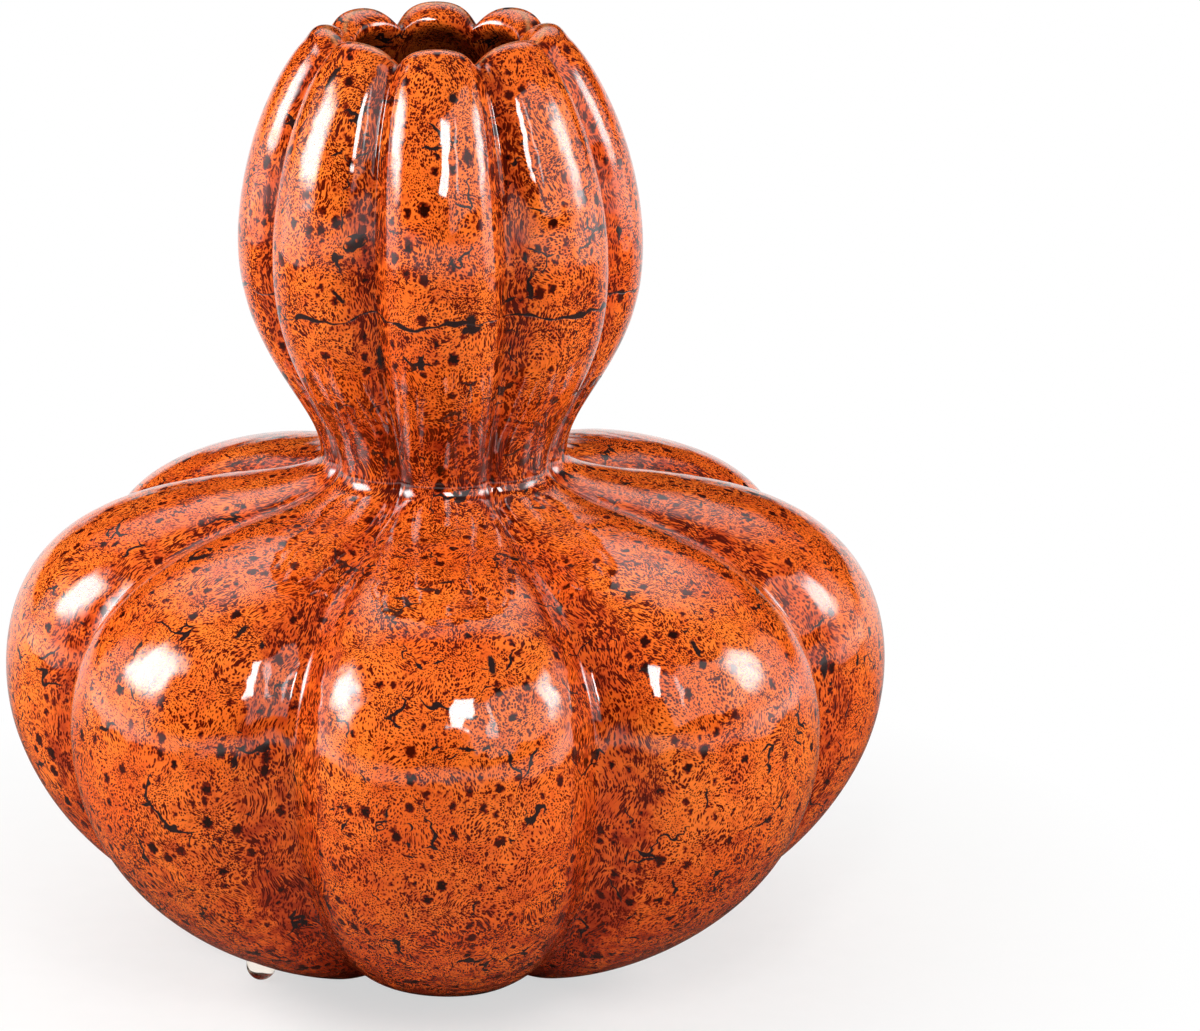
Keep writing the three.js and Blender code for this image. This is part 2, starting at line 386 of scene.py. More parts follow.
@dataclass(frozen=True)
class GourdSizes:
    """Sizes of the two castings. Heights are from the unglazed foot, radii to the lobes' crests."""

    top: float
    lift: float
    bulb_radius: float
    belly_radius: float
    waist_radius: float
    waist_height: float
    rim_radius: float = 44.5
    lip_drop: float = 7.0
    lip_radius: float = 53.4
    bulb_height: float = 292.0
    shoulder_height: float = 189.7
    shoulder_radius: float = 98.5
    belly_height: float = 115.5
    foot_radius: float = 80.5
    rim_groove: float = 4.4
    rim_notch: float = 8.0
    lip_groove: float = 6.3
    lip_notch: float = 4.8
    bulb_groove: float = 13.2
    waist_groove: float = 4.2
    shoulder_groove: float = 12.5
    shoulder_sink: float = 5.0
    belly_groove: float = 25.0
    foot_groove: float = 11.5
    foot_notch: float = 3.5
    lip_slope: float = -46.0
    shoulder_slope: float = -10.5
    shoulder_groove_slope: float = -15.5
    foot_slope: float = -160.0
    wall: float = 6.0
    mouth_radius: float = 35.8
    mouth_depth: float = 6.5
    mouth_scallop: float = 3.0
    throat_place: float = 0.35
    floor_thickness: float = 10.0
    floor_radius: float = 60.0
    foot_pad: float = 8.0
    recess_radius: float = 48.0
    recess_depth: float = 4.0
    bead_height: float = 9.0
    bead_thickness: float = 3.0

    @classmethod
    def from_frame(cls) -> "GourdSizes":
        """Reads the driving sizes from the boxes of the CAD nodes.

        Returns:
            The sizes, with the lift of the foot above the ground taken off every height.
        """
        upper_low, upper_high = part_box(Node.UPPER_GOURD.value)
        lower_low, lower_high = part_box(Node.LOWER_GOURD.value)
        joint_low, joint_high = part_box(Node.WAIST_JOINT.value)
        lift = lower_low.z / MM
        return cls(
            top=upper_high.z / MM - lift,
            lift=lift,
            bulb_radius=(upper_high.x - upper_low.x) / 2 / MM,
            belly_radius=(lower_high.x - lower_low.x) / 2 / MM,
            waist_radius=(joint_high.x - joint_low.x) / 2 / MM,
            waist_height=(joint_high.z + joint_low.z) / 2 / MM - lift,
        )

    def upper(self, groove: bool) -> dict[str, Station]:
        """The outer stations of the upper gourd.

        Args:
            groove: True along a groove, False along a crest.

        Returns:
            The stations by name, from the mouth down.
        """
        g = 1 if groove else 0
        mouth_height = self.top - self.mouth_depth - g * self.mouth_scallop
        rim_height = self.top - g * self.rim_notch
        lip_height = self.top - self.lip_drop - g * self.lip_notch
        return {
            "mouth": Station(self.mouth_radius, mouth_height, 90, 0.35, 0.35),
            "rim": Station(self.rim_radius - g * self.rim_groove, rim_height, 0, 0.35, 0.45),
            "lip": Station(self.lip_radius - g * self.lip_groove, lip_height, self.lip_slope, 0.36, 0.18),
            "bulb": Station(self.bulb_radius - g * self.bulb_groove, self.bulb_height, -90, 0.43, 0.52),
            "waist": Station(self.waist_radius - g * self.waist_groove, self.waist_height, -90, 0.24, 0.25),
        }

    def lower(self, groove: bool) -> dict[str, Station]:
        """The outer stations of the lower gourd.

        Args:
            groove: True along a groove, False along a crest.

        Returns:
            The stations by name, from the waist down.
        """
        g = 1 if groove else 0
        shoulder_radius = self.shoulder_radius - g * self.shoulder_groove
        shoulder_height = self.shoulder_height - g * self.shoulder_sink
        shoulder_slope = self.shoulder_groove_slope if groove else self.shoulder_slope
        foot_radius = self.foot_radius - g * self.foot_groove
        return {
            "waist": self.upper(groove)["waist"],
            "shoulder": Station(shoulder_radius, shoulder_height, shoulder_slope, 0.4, 0.36),
            "belly": Station(self.belly_radius - g * self.belly_groove, self.belly_height, -90, 0.47, 0.31),
            "foot": Station(foot_radius, g * self.foot_notch, self.foot_slope, 0.43, 0.3),
        }


@dataclass(frozen=True)
class Ripple:
    """The slight unevenness of a cast and hand-finished wall, as a sum of long waves."""

    seed: int = SEED
    waves: int = 40
    shortest: float = 28.0
    longest: float = 110.0
    depth: float = 0.32

    def at(self, places: np.ndarray) -> np.ndarray:
        """How far the surface stands out.

        Args:
            places: Points in millimetres, in the last axis.

        Returns:
            The height of the ripple at each point, in millimetres.
        """
        rng = np.random.default_rng(self.seed)
        ways = rng.normal(size=(self.waves, 3))
        ways /= np.linalg.norm(ways, axis=1, keepdims=True)
        lengths = np.exp(rng.uniform(math.log(self.shortest), math.log(self.longest), self.waves))
        phases = rng.uniform(0, 2 * math.pi, self.waves)
        total = np.zeros(places.shape[:-1])
        for way, length, phase in zip(ways, lengths, phases):
            total += np.sin(places @ way * (2 * math.pi / length) + phase) * (length / self.longest)
        return total * self.depth / math.sqrt(self.waves)


@dataclass(frozen=True)
class Lean:
    """How far the upper gourd was luted on out of true: it leans a little to one side."""

    pivot: float
    top: float
    reach: float = -2.1
    bend: float = 1.2

    def at(self, heights: np.ndarray) -> np.ndarray:
        """How far points are carried sideways.

        Args:
            heights: Their heights.

        Returns:
            The sideways shift of each point: none below the joint.
        """
        share = np.clip((heights - self.pivot) / (self.top - self.pivot), 0, 1)
        return self.reach * share**self.bend


@dataclass(frozen=True)
class WallFace:
    """One face of the wall: the rows of its profile along a crest and along a groove.

    A row is a radius and a height. Each flow says how far its rows lie down the run of the glaze.
    """

    crest: np.ndarray
    groove: np.ndarray
    crest_flow: np.ndarray
    valley_flow: np.ndarray
    inside: bool = False

    def upwards(self, skip: int = 0) -> "WallFace":
        """The same face with its rows turned round.

        Args:
            skip: How many of the first rows are left out.

        Returns:
            The face, from its last row to its first.
        """
        rows = (self.crest, self.groove, self.crest_flow, self.valley_flow)
        return WallFace(*(values[skip:][::-1] for values in rows), self.inside)


@dataclass
class Skin:
    """Rings of points round the axis, with the surface coordinates that the glaze follows."""

    plan: LobePlan
    lift: float
    lean: Lean
    rings: list[np.ndarray] = field(default_factory=list)
    crest_flow: list[float] = field(default_factory=list)
    valley_flow: list[float] = field(default_factory=list)
    lip: list[float] = field(default_factory=list)
    shares: list[np.ndarray] = field(default_factory=list)
    sections: list[int] = field(default_factory=list)

    def add_face(self, face: WallFace, lip: np.ndarray | None = None) -> None:
        """Adds a ring for every row of a face of the wall.

        Args:
            face: The face.
            lip: How much each row belongs to the thin glaze of the lip, from 0 to 1. None does without it.
        """
        angles = self.plan.angles
        share = self.plan.share(angles, face.inside)
        for crest, groove in zip(face.crest, face.groove):
            radius, height = (groove + (crest - groove) * share[:, None]).T
            across = radius * np.cos(angles) + self.lean.at(height)
            self.rings.append(np.column_stack([across, radius * np.sin(angles), height + self.lift]))
            self.shares.append(share)
        self.sections.append(len(face.crest))
        self.crest_flow.extend(face.crest_flow)
        self.valley_flow.extend(face.valley_flow)
        self.lip.extend(np.zeros(len(face.crest)) if lip is None else lip)

    def normals(self, grid: np.ndarray) -> np.ndarray:
        """The directions square to the surface, each face of the wall by itself up to its edge.

        Args:
            grid: Rows by columns by three.

        Returns:
            The unit normal of every point.
        """
        across = np.roll(grid, -1, axis=1) - np.roll(grid, 1, axis=1)
        parts = np.split(grid, np.cumsum(self.sections)[:-1])
        down = np.concatenate([np.gradient(part, axis=0, edge_order=2) for part in parts])
        normal = np.cross(down, across)
        return normal / (np.linalg.norm(normal, axis=2, keepdims=True) + 1e-9)

    def rippled(self, ripple: Ripple) -> np.ndarray:
        """The rings moved along their own normals by the ripple.

        Args:
            ripple: The unevenness of the wall.

        Returns:
            Rows by columns by three, in millimetres.
        """
        grid = np.array(self.rings)
        return grid + self.normals(grid) * ripple.at(grid)[..., None]

    def build(
        self, name: str, ripple: Ripple, poles: tuple[float, float] | None = None
    ) -> bpy.types.Object:
        """Makes the mesh, with its flow coordinates and its normals.

        Args:
            name: The object's name.
            ripple: The unevenness of the wall.
            poles: Heights of the points that close the first and the last ring. Without them the last
                ring joins the first.

        Returns:
            The object, linked to the scene.
        """
        grid = self.rippled(ripple)
        rows, columns = grid.shape[:2]
        row = np.arange(rows - 1 if poles else rows)
        here = np.arange(columns)
        beside = (here + 1) % columns
        top = (row * columns)[:, None]
        below = ((row + 1) % rows * columns)[:, None]
        quads = np.stack([top + here, below + here, below + beside, top + beside], axis=2).reshape(-1, 4)
        faces = quads.tolist()
        points = grid.reshape(-1, 3)
        for pole, end in zip(poles or (), (0, rows - 1)):
            ring = end * columns
            order = (ring + here, ring + beside) if end == 0 else (ring + beside, ring + here)
            faces += [[len(points), int(a), int(b)] for a, b in zip(*order)]
            points = np.vstack([points, [0, 0, pole + self.lift]])
        obj = new_object(name, points * MM, faces)
        self._write_flow(obj.data, grid, len(quads), row)
        self._write_normals(obj.data, grid, row)
        return obj

    def _write_normals(self, mesh: bpy.types.Mesh, grid: np.ndarray, row: np.ndarray) -> None:
        """Writes the walls' own normals, so that the glaze runs over the waist without a seam.

        Args:
            mesh: The new mesh, whose first faces are the quads between the rings.
            grid: The rings of points.
            row: The upper row of each row of quads.
        """
        rows, columns = grid.shape[:2]
        beside = (np.arange(columns) + 1) % columns
        below = (row + 1) % rows
        normal = self.normals(grid)
        upper, lower = normal[row], normal[below]
        corners = np.stack([upper, lower, lower[:, beside], upper[:, beside]], axis=2)
        edges = set(np.cumsum(self.sections) - 1)
        values = np.zeros((len(mesh.loops), 3))
        flat = np.zeros(len(mesh.polygons) * 3)
        mesh.polygons.foreach_get("normal", flat)
        flat = flat.reshape(-1, 3)
        quads = len(row) * columns
        if float((flat[:quads] * corners.reshape(-1, 4, 3)[:, 0]).sum()) < 0:
            corners = -corners
        for index, line in enumerate(row):
            if line in edges:
                corners[index] = flat[index * columns : (index + 1) * columns, None]
        values[: quads * 4] = corners.reshape(-1, 3)
        values[quads * 4 :] = np.repeat(flat[quads:], 3, axis=0)
        mesh.normals_split_custom_set(values.tolist())

    def _write_flow(self, mesh: bpy.types.Mesh, grid: np.ndarray, quads: int, row: np.ndarray) -> None:
        """Writes the flow coordinates on the face corners, and the lobe and lip shares on the points.

        Args:
            mesh: The new mesh, whose first faces are the quads between the rings.
            grid: The rings of points.
            quads: How many quads there are.
            row: The upper row of each row of quads.
        """
        rows, columns = grid.shape[:2]
        per = self.plan.columns
        step = np.linalg.norm(np.roll(grid, -1, axis=1) - grid, axis=2)
        around = np.concatenate([np.zeros((rows, 1)), np.cumsum(step, axis=1)], axis=1)
        column = np.arange(columns)
        below = (row + 1) % rows
        layers = ((Flow.CREST, self.crest_flow, per // 2), (Flow.VALLEY, self.valley_flow, 0))
        for flow, down, shift in layers:
            index = (column + shift) // per
            middle = (index * per + per // 2 - shift) % columns
            down = np.array(down)
            corners = np.zeros((len(row), columns, 4, 2))
            for corner, (line, offset) in enumerate(((row, 0), (below, 0), (below, 1), (row, 1))):
                length = around[line][:, -1:]
                across = around[line][:, column + offset] - around[line][:, middle]
                across = (across + length / 2) % length - length / 2
                corners[:, :, corner, 0] = across + LOBE_APART * (index % self.plan.lobes)
                corners[:, :, corner, 1] = down[line][:, None]
            layer = mesh.uv_layers.new(name=flow.value)
            values = np.zeros((len(mesh.loops), 2))
            values[: quads * 4] = corners.reshape(-1, 2)
            layer.data.foreach_set("uv", values.ravel())
        extra = len(mesh.vertices) - rows * columns
        for flow, values in ((Flow.LOBE, np.array(self.shares)), (Flow.LIP, np.repeat(self.lip, columns))):
            attribute = mesh.attributes.new(flow.value, "FLOAT", "POINT")
            attribute.data.foreach_set("value", np.append(values.ravel(), [0.0] * extra))


def arc_lengths(points: np.ndarray) -> np.ndarray:
    """How far along a profile each of its points lies.

    Args:
        points: Radius and height of each row.

    Returns:
        The distance of each row from the first one.
    """
    return np.concatenate([[0.0], np.cumsum(np.linalg.norm(np.diff(points, axis=0), axis=1))])


@dataclass(frozen=True)
class Body:
    """The glazed body: the sizes, the lobes' plan, the wall's ripple, and how the glaze stretched.

    The rows say how finely each stretch of a profile is drawn, from its first station on.
    Marks in the glaze are drawn out along the flow where it ran fastest. run_heights and run_shares
    say by how much: 1 is round, and 0.5 makes them twice as long as wide.
    """

    sizes: GourdSizes
    plan: LobePlan = LobePlan()
    ripple: Ripple = Ripple()
    upper_rows: tuple[int, ...] = (12, 14, 48, 48)
    upper_inner_rows: tuple[int, ...] = (20, 20, 26)
    lower_rows: tuple[int, ...] = (40, 56, 60)
    lower_inner_rows: tuple[int, ...] = (24, 32, 32, 10)
    foot_rows: tuple[int, ...] = (4, 8, 10)
    pole_radius: float = 6.0
    run_heights: tuple[float, ...] = (0.0, 60.0, 115.0, 160.0, 195.0, 215.0, 245.0, 290.0, 340.0, 380.0)
    run_shares: tuple[float, ...] = (0.8, 0.72, 0.88, 1.0, 0.9, 0.62, 0.8, 0.95, 0.85, 0.9)

    @property
    def lean(self) -> Lean:
        """How the upper gourd leans."""
        return Lean(self.sizes.waist_height, self.sizes.top)

    def place(self, angle: float, height: float) -> tuple[Vector, Vector, Vector]:
        """A place on the outside of the vase.

        Args:
            angle: Degrees from the front crest, to the right.
            height: Millimetres above the foot.

        Returns:
            The point, and the unit vectors round the vase and down the flow, in the frame's directions.
        """
        turn = FRONT + math.radians(angle)
        share = float(self.plan.share(np.array([turn]))[0])
        lip_row = sum(self.upper_rows[:2])
        crest, groove = (
            np.vstack([self.outer_upper(g)[lip_row:], self.outer_lower(g)[1:]]) for g in (False, True)
        )
        line = groove + (crest - groove) * share
        heights, radii = line[::-1, 1], line[::-1, 0]
        out = Vector((math.cos(turn), math.sin(turn), 0))
        points = []
        for z in (height + 1, height, height - 1):
            lean = Vector((float(self.lean.at(np.array(z))), 0, z + self.sizes.lift))
            points.append(out * float(np.interp(z, heights, radii)) + lean)
        down = (points[2] - points[0]).normalized()
        return points[1], Vector((-math.sin(turn), math.cos(turn), 0)), down

    def stretched(self, points: np.ndarray) -> np.ndarray:
        """Distance down the flow, shortened where marks are drawn out.

        Args:
            points: Radius and height of each row.

        Returns:
            The flow coordinate of each row.
        """
        lengths = np.diff(arc_lengths(points))
        middles = (points[1:, 1] + points[:-1, 1]) / 2
        runs = lengths * np.interp(middles, self.run_heights, self.run_shares)
        return np.concatenate([[0.0], np.cumsum(runs)])

    def skin(self) -> Skin:
        """An empty skin for a piece of the body."""
        return Skin(self.plan, self.sizes.lift, self.lean)

    def face(
        self, line: Callable[[bool], np.ndarray], starts: Sequence[float] = (0.0, 0.0), inside: bool = False
    ) -> WallFace:
        """A face of the wall, with how far each of its rows lies down the flow.

        Args:
            line: Gives the profile: along a groove for True, along a crest for False.
            starts: How far down the flow the first row lies, along a crest and along a groove.
            inside: Whether it is an inner face. Its flow is counted below 0.

        Returns:
            The face, from its first row on.
        """
        lines = line(False), line(True)
        way = -1 if inside else 1
        flows = (way * (start + self.stretched(rows)) for start, rows in zip(starts, lines))
        return WallFace(*lines, *flows, inside)

    def outer_upper(self, groove: bool) -> np.ndarray:
        """The outer profile of the upper gourd, from the mouth over the lip to the waist."""
        s = self.sizes.upper(groove)
        return profile([s["mouth"], s["rim"], s["lip"], s["bulb"], s["waist"]], self.upper_rows)

    def inner_upper(self, groove: bool) -> np.ndarray:
        """The inner profile of the upper gourd, from the mouth to the waist."""
        s = self.sizes.upper(groove)
        wall = self.sizes.wall
        mouth = replace(s["mouth"], slope=-90, after=0.15)
        throat = Stretch(s["lip"], s["bulb"]).between(self.sizes.throat_place, 0.45, 0.35)
        stations = [mouth, throat.inset(wall), s["bulb"].inset(wall), s["waist"].inset(wall)]
        return profile(stations, self.upper_inner_rows)

    def outer_lower(self, groove: bool) -> np.ndarray:
        """The outer profile of the lower gourd, from the waist to the foot's edge."""
        s = self.sizes.lower(groove)
        return profile([s["waist"], s["shoulder"], s["belly"], s["foot"]], self.lower_rows)

    def outer_lower_and_foot(self, groove: bool) -> np.ndarray:
        """The outer profile of the lower gourd, and on under the foot to the middle of the recess."""
        return np.vstack([self.outer_lower(groove), self.foot(groove)])

    def foot(self, groove: bool) -> np.ndarray:
        """The foot: a rounded edge, the pad that would touch the ground, and the recess within."""
        z = self.sizes
        edge = z.lower(groove)["foot"]
        pad_in = Station(edge.radius - z.foot_pad, edge.height, 180, 0.3, 0.3)
        recess = Station(z.recess_radius, z.recess_depth, 180, 0.5, 0.3)
        centre = Station(self.pole_radius, z.recess_depth, 180, 0.3, 0.3)
        return profile([edge, pad_in, recess, centre], self.foot_rows)[1:]

    def inner_lower(self, groove: bool) -> np.ndarray:
        """The inner profile of the lower gourd, from the waist to the floor."""
        s = self.sizes.lower(groove)
        wall = self.sizes.wall
        floor_radius = self.sizes.floor_radius - (self.sizes.foot_groove if groove else 0)
        floor = Station(floor_radius, self.sizes.floor_thickness, 180, 0.4, 0.3)
        centre = Station(self.pole_radius, self.sizes.floor_thickness, 180, 0.3, 0.3)
        walls = [s[name].inset(wall) for name in ("waist", "shoulder", "belly")]
        return profile([*walls, floor, centre], self.lower_inner_rows)


@dataclass(frozen=True)
class Mark:
    """A gap in the top coat, put where it lies.

    The angle is in degrees from the front crest to the right, the height in millimetres above the
    foot, the length and width in millimetres, and the turn in degrees away from the way the glaze ran.
    """

    angle: float
    height: float
    length: float
    width: float
    turn: float = 0.0


# The larger gaps, which catch the eye in the photograph, each given in its own place.
GAPS = (
    Mark(6.5, 167.2, 9.5, 3.2),
    Mark(37.2, 163.5, 8.5, 2.4),
    Mark(-32.4, 170.2, 8.0, 2.2, 10),
    Mark(-45.0, 368.5, 13.0, 3.0, 12),
    Mark(-21.5, 261.0, 13.0, 4.5),
    Mark(8.3, 280.5, 7.5, 4.6),
    Mark(8.5, 277.2, 3.4, 9.0),
    Mark(5.9, 364.3, 4.5, 4.0),
    Mark(-3.6, 185.2, 1.6, 9.0, 6),
    Mark(0.4, 186.5, 1.4, 7.5, -18),
    Mark(-1.4, 184.8, 4.0, 2.4),
    Mark(-3.6, 167.4, 1.5, 5.0, 50),
    Mark(-1.0, 168.7, 1.4, 5.0, -14),
    Mark(2.6, 141.3, 1.5, 7.5, 10),
    Mark(5.0, 141.2, 1.4, 4.5, -20),
    Mark(-31.0, 287.0, 8.0, 1.8, -35),
    Mark(70.7, 129.7, 12.0, 2.6, 8),
    Mark(-28.8, 166.2, 4.0, 1.6, -20),
)


@dataclass(frozen=True)
class ReactiveGlaze:
    """Glossy reactive stoneware glaze: an iron-orange top coat that broke over a dark base coat.

    A fired glaze is a thick glass, so it is smooth and mirrors its surroundings at about five per
    cent. Where the top coat crawled, the dark base shows as specks, ringed spots and cracks. Widths,
    heights, spacings and depths are in millimetres.
    """

    name: str = "orange_reactive_stoneware_glaze"
    orange: str = "#F0661E"
    light_orange: str = "#FB7B2A"
    # red_orange and brown are partly random blush and the dense waist band, and partly painted shade in the
    # valleys and towards the foot.
    red_orange: str = "#C8421A"
    brown: str = "#8A2C10"
    speck: str = "#220602"
    speck_rim: str = "#8A2208"
    base_coat: str = "#2A1817"
    # The inner wall's painted shade, darker the further down the throat.
    throat_painted_shade: str = "#3E1208"
    amber: str = "#C88E5C"
    bare_clay: str = "#B79F82"
    bare_clay_shade: str = "#8E755A"
    roughness: float = 0.05
    clay_roughness: float = 0.8
    ior: float = 1.6
    # Specks, streaks, spots, cracks and hairlines: how far apart they lie and how wide they get. The
    # worms and the net between the specks are so many times as large as the specks' spacing.
    speck_spacing: float = 1.08
    streak_spacing: float = 1.0
    streak_share: float = 0.4
    worm_size: float = 1.9
    net_size: float = 1.45
    spot_spacing: float = 5.6
    spot_radius: float = 2.5
    crack_spacing: float = 27.0
    crack_width: float = 0.85
    hair_width: float = 0.4
    hair_reach: float = 22.0
    # How coarsely their outlines fray, and how broadly they sway and come and go.
    speck_fray: float = 1.7
    speck_sway: float = 15.0
    spot_fray: float = 1.6
    gap_fray: float = 2.0
    gap_raggedness: float = 1.8
    crack_sway: float = 12.0
    crack_bend: float = 16.0
    crack_patch: float = 15.0
    hair_curl: float = 7.5
    # Patches of thicker specks, of lighter orange and of redder orange, and the wandering valleys. The
    # low band is painted shade: the orange is painted redder towards the foot.
    patch_width: float = 17.0
    tone_width: float = 38.0
    blush_width: float = 6.5
    valley_wander: float = 9.0
    waist_band: tuple[float, float] = (196.0, 207.0)
    thick_bands: tuple[tuple[float, float], ...] = ((145.0, 188.0), (105.0, 55.0))
    low_painted_shade_band: tuple[float, float] = (6.0, 115.0)
    # The edges of the pours: a crawled line round the bulb, and a scalloped run below it.
    crawl_height: float = 279.0
    crawl_wander: float = 15.0
    crawl_clearance: tuple[float, float] = (3.0, 7.0)
    crawl_sink: float = 0.08
    run_height: float = 236.0
    run_wander: float = 22.0
    pour_wave: float = 24.0
    pour_break: float = 8.0
    pour_step: float = 0.3
    # The skin's slow waves and its fine orange peel, and the foot's wiped edge and its clay.
    peel_width: float = 11.0
    peel_depth: float = 0.42
    fine_peel_width: float = 1.6
    fine_peel_depth: float = 0.006
    # How far down the throat the painted shade on the inner wall grows.
    throat_depth: float = 30.0
    bare_height: float = 4.2
    wipe_width: float = 14.0
    wipe_wander: float = 3.0
    clay_grain: float = 0.9
    gaps: tuple[Mark, ...] = GAPS

    def material(self, body: Body) -> bpy.types.Material:
        """Builds the glaze.

        Args:
            body: The body that the glaze lies on, which knows where a mark's place is.

        Returns:
            The material.
        """
        material, tree = new_tree(self.name)
        place = place_in_millimetres(tree)
        height = add(tree, Shader.SPLIT, place).outputs["Z"]
        line, below, clear = self._runs(tree, place, height)
        zones = self._zones(tree, place, height, below)
        spots, plain = self._spots(tree, place)
        specks = self._specks(tree, place, zones)
        specks = add(tree, Shader.MULTIPLY, specks, plain)
        specks = add(tree, Shader.MAXIMUM, specks, spots)
        cracks = self._cracks(tree, place)
        open_base = add(tree, Shader.MULTIPLY, cracks, clear)
        open_base = add(tree, Shader.MAXIMUM, open_base, line)
        open_base = self._gaps(tree, place, body, open_base)
        colour = self._colour(tree, specks, open_base, zones)
        under, colour = self._bare_foot(tree, place, height, colour)
        duller = self.clay_roughness - self.roughness
        rough = add(tree, Shader.MULTIPLY_ADD, under, duller, self.roughness)
        surface = add(
            tree,
            Shader.PRINCIPLED,
            named={
                "Base Color": colour,
                "Roughness": rough,
                "IOR": self.ior,
                "Normal": self._relief(tree, place, line, below),
            },
        )
        add(tree, Shader.OUTPUT, surface)
        return material

    def _runs(self, tree: Tree, place: Pattern, height: Socket) -> tuple[Pattern, Pattern, Pattern]:
        """The edges of the pours: a crawled line round the upper gourd and a scalloped run below it.

        Args:
            tree: The node tree.
            place: The place on the object, in millimetres.
            height: Its height.

        Returns:
            How far the line is open, which places lie below the run's edge, and which are clear of the
            crawled line, all from 0 to 1.
        """
        wave = add(tree, Shader.NOISE, place, 1 / self.pour_wave, 2.0, 0.6)
        opened = add(tree, Shader.NOISE, place, 1 / self.pour_break, 1.0)
        sway, low = self.crawl_wander, self.crawl_height - self.crawl_wander / 2
        crawl = add(tree, Shader.MULTIPLY_ADD, wave, sway, low)
        away = add(tree, Shader.SUBTRACT, height, crawl)
        away = add(tree, Shader.ABSOLUTE, away)
        clear = add(tree, Shader.RANGE, away, *self.crawl_clearance)
        room = add(tree, Shader.RANGE, opened, 0.4, 0.7, 0.3, 1.4)
        inside = add(tree, Shader.SUBTRACT, room, away)
        line = add(tree, Shader.RANGE, inside, -0.1, 0.3)
        drips = add(tree, Shader.ADD, wave, opened)
        sway, low = self.run_wander, self.run_height - self.run_wander
        run = add(tree, Shader.MULTIPLY_ADD, drips, sway, low)
        under = add(tree, Shader.SUBTRACT, run, height)
        below = add(tree, Shader.RANGE, under, -0.6, 0.8)
        beside = add(tree, Shader.ABSOLUTE, under)
        thin = add(tree, Shader.RANGE, opened, 0.42, 0.66, -0.1, 1.1)
        edge = add(tree, Shader.SUBTRACT, thin, beside)
        edge = add(tree, Shader.RANGE, edge, -0.1, 0.25)
        line = add(tree, Shader.MAXIMUM, line, edge)
        return line, below, clear

    def _zones(self, tree: Tree, place: Pattern, height: Socket, below: Pattern) -> dict[str, Pattern]:
        """Where the valleys are, how thick the specks lie, how light the orange is, and how much redder
        and darker it is painted, at random and as painted shade in the valleys and towards the foot.

        Args:
            tree: The node tree.
            place: The place on the object, in millimetres.
            height: Its height.
            below: Which places lie below the run's edge.

        Returns:
            The nodes valley, density, tone, and how much redder and darker the orange is painted, at
            random and as painted shade. All run from 0 to 1, but the density can be more.
        """
        lobe = add(tree, Shader.ATTRIBUTE, attribute_name=Flow.LOBE.value).outputs["Fac"]
        wander = add(tree, Shader.NOISE, place, 1 / self.valley_wander, 1.0)
        edge = add(tree, Shader.MULTIPLY_ADD, wander, 0.34, lobe)
        valley = add(tree, Shader.SMOOTH_RANGE, edge, 0.55, 0.8, 1.0, 0.0)
        patch = add(tree, Shader.NOISE, place, 1 / self.patch_width, 3.0, 0.65)
        patch = add(tree, Shader.SMOOTH_RANGE, patch, 0.34, 0.68)
        waist = add(tree, Shader.RANGE, height, *self.waist_band, 0.0, 0.7)
        waist = add(tree, Shader.MULTIPLY, waist, below)
        density = add(tree, Shader.ADD, patch, waist)
        density = add(tree, Shader.MULTIPLY_ADD, valley, 0.35, density)
        for band in self.thick_bands:
            more = add(tree, Shader.RANGE, height, *band, 0.0, 0.35)
            density = add(tree, Shader.ADD, density, more)
        tone = add(tree, Shader.NOISE, place, 1 / self.tone_width, 2.0)
        # Painted shade: the orange is painted redder and darker towards the foot and in the valleys, where
        # less light falls.
        low = add(tree, Shader.RANGE, height, *self.low_painted_shade_band, 0.35, 0.0)
        sunk = add(tree, Shader.MULTIPLY_ADD, valley, 0.18, low)
        blush = add(tree, Shader.NOISE, place, 1 / self.blush_width, 2.0)
        redder_and_painted_shade = add(tree, Shader.ADD, sunk, blush)
        redder_and_painted_shade = add(tree, Shader.MULTIPLY_ADD, waist, 0.25, redder_and_painted_shade)
        return {
            "valley": valley,
            "density": density,
            "tone": add(tree, Shader.RANGE, tone, 0.35, 0.65),
            "redder_and_painted_shade": add(tree, Shader.RANGE, redder_and_painted_shade, 0.47, 0.95),
        }

    def _specks(self, tree: Tree, place: Pattern, zones: dict[str, Pattern]) -> Pattern:
        """Fine specks on the lobes, and streaks drawn out along the valleys.

        The finest real specks are 0.3 mm across and 0.9 mm apart, too fine to show, so they are drawn
        a fifth coarser.

        Args:
            tree: The node tree.
            place: The place on the object, in millimetres.
            zones: The nodes of _zones.

        Returns:
            How dark the specks are, from 0 to 1.
        """
        drift, fray = (
            add(tree, Shader.NOISE, place, 1 / width, 0.0).outputs["Color"]
            for width in (self.speck_sway, self.speck_fray)
        )
        density = zones["density"]
        found = []
        for flow, wide, spacing in (
            (Flow.CREST, 1.0, self.speck_spacing),
            (Flow.VALLEY, self.streak_share, self.streak_spacing),
        ):
            at = add(tree, Shader.ATTRIBUTE, attribute_name=flow.value).outputs["Vector"]
            at = add(tree, Shader.VECTOR_MULTIPLY, at, (1.0, wide, 1.0))
            for shift, amount in ((drift, (9.0, 12.0 * wide, 0.0)), (fray, (0.7, 0.6, 0.0))):
                at = add(tree, Shader.VECTOR_MULTIPLY_ADD, shift, amount, at)
            cells = add(
                tree, Shader.VORONOI, at, 1 / spacing, named={"Randomness": 0.8}, voronoi_dimensions="2D"
            )
            pick = add(tree, Shader.SPLIT_COLOUR, cells.outputs["Color"])
            reach = add(tree, Shader.MULTIPLY_ADD, pick, 0.22, 0.12)
            reach = add(tree, Shader.MULTIPLY_ADD, density, 0.12, reach)
            inside = add(tree, Shader.SUBTRACT, reach, cells.outputs["Distance"])
            dots = add(tree, Shader.RANGE, inside, -0.1, 0.15)
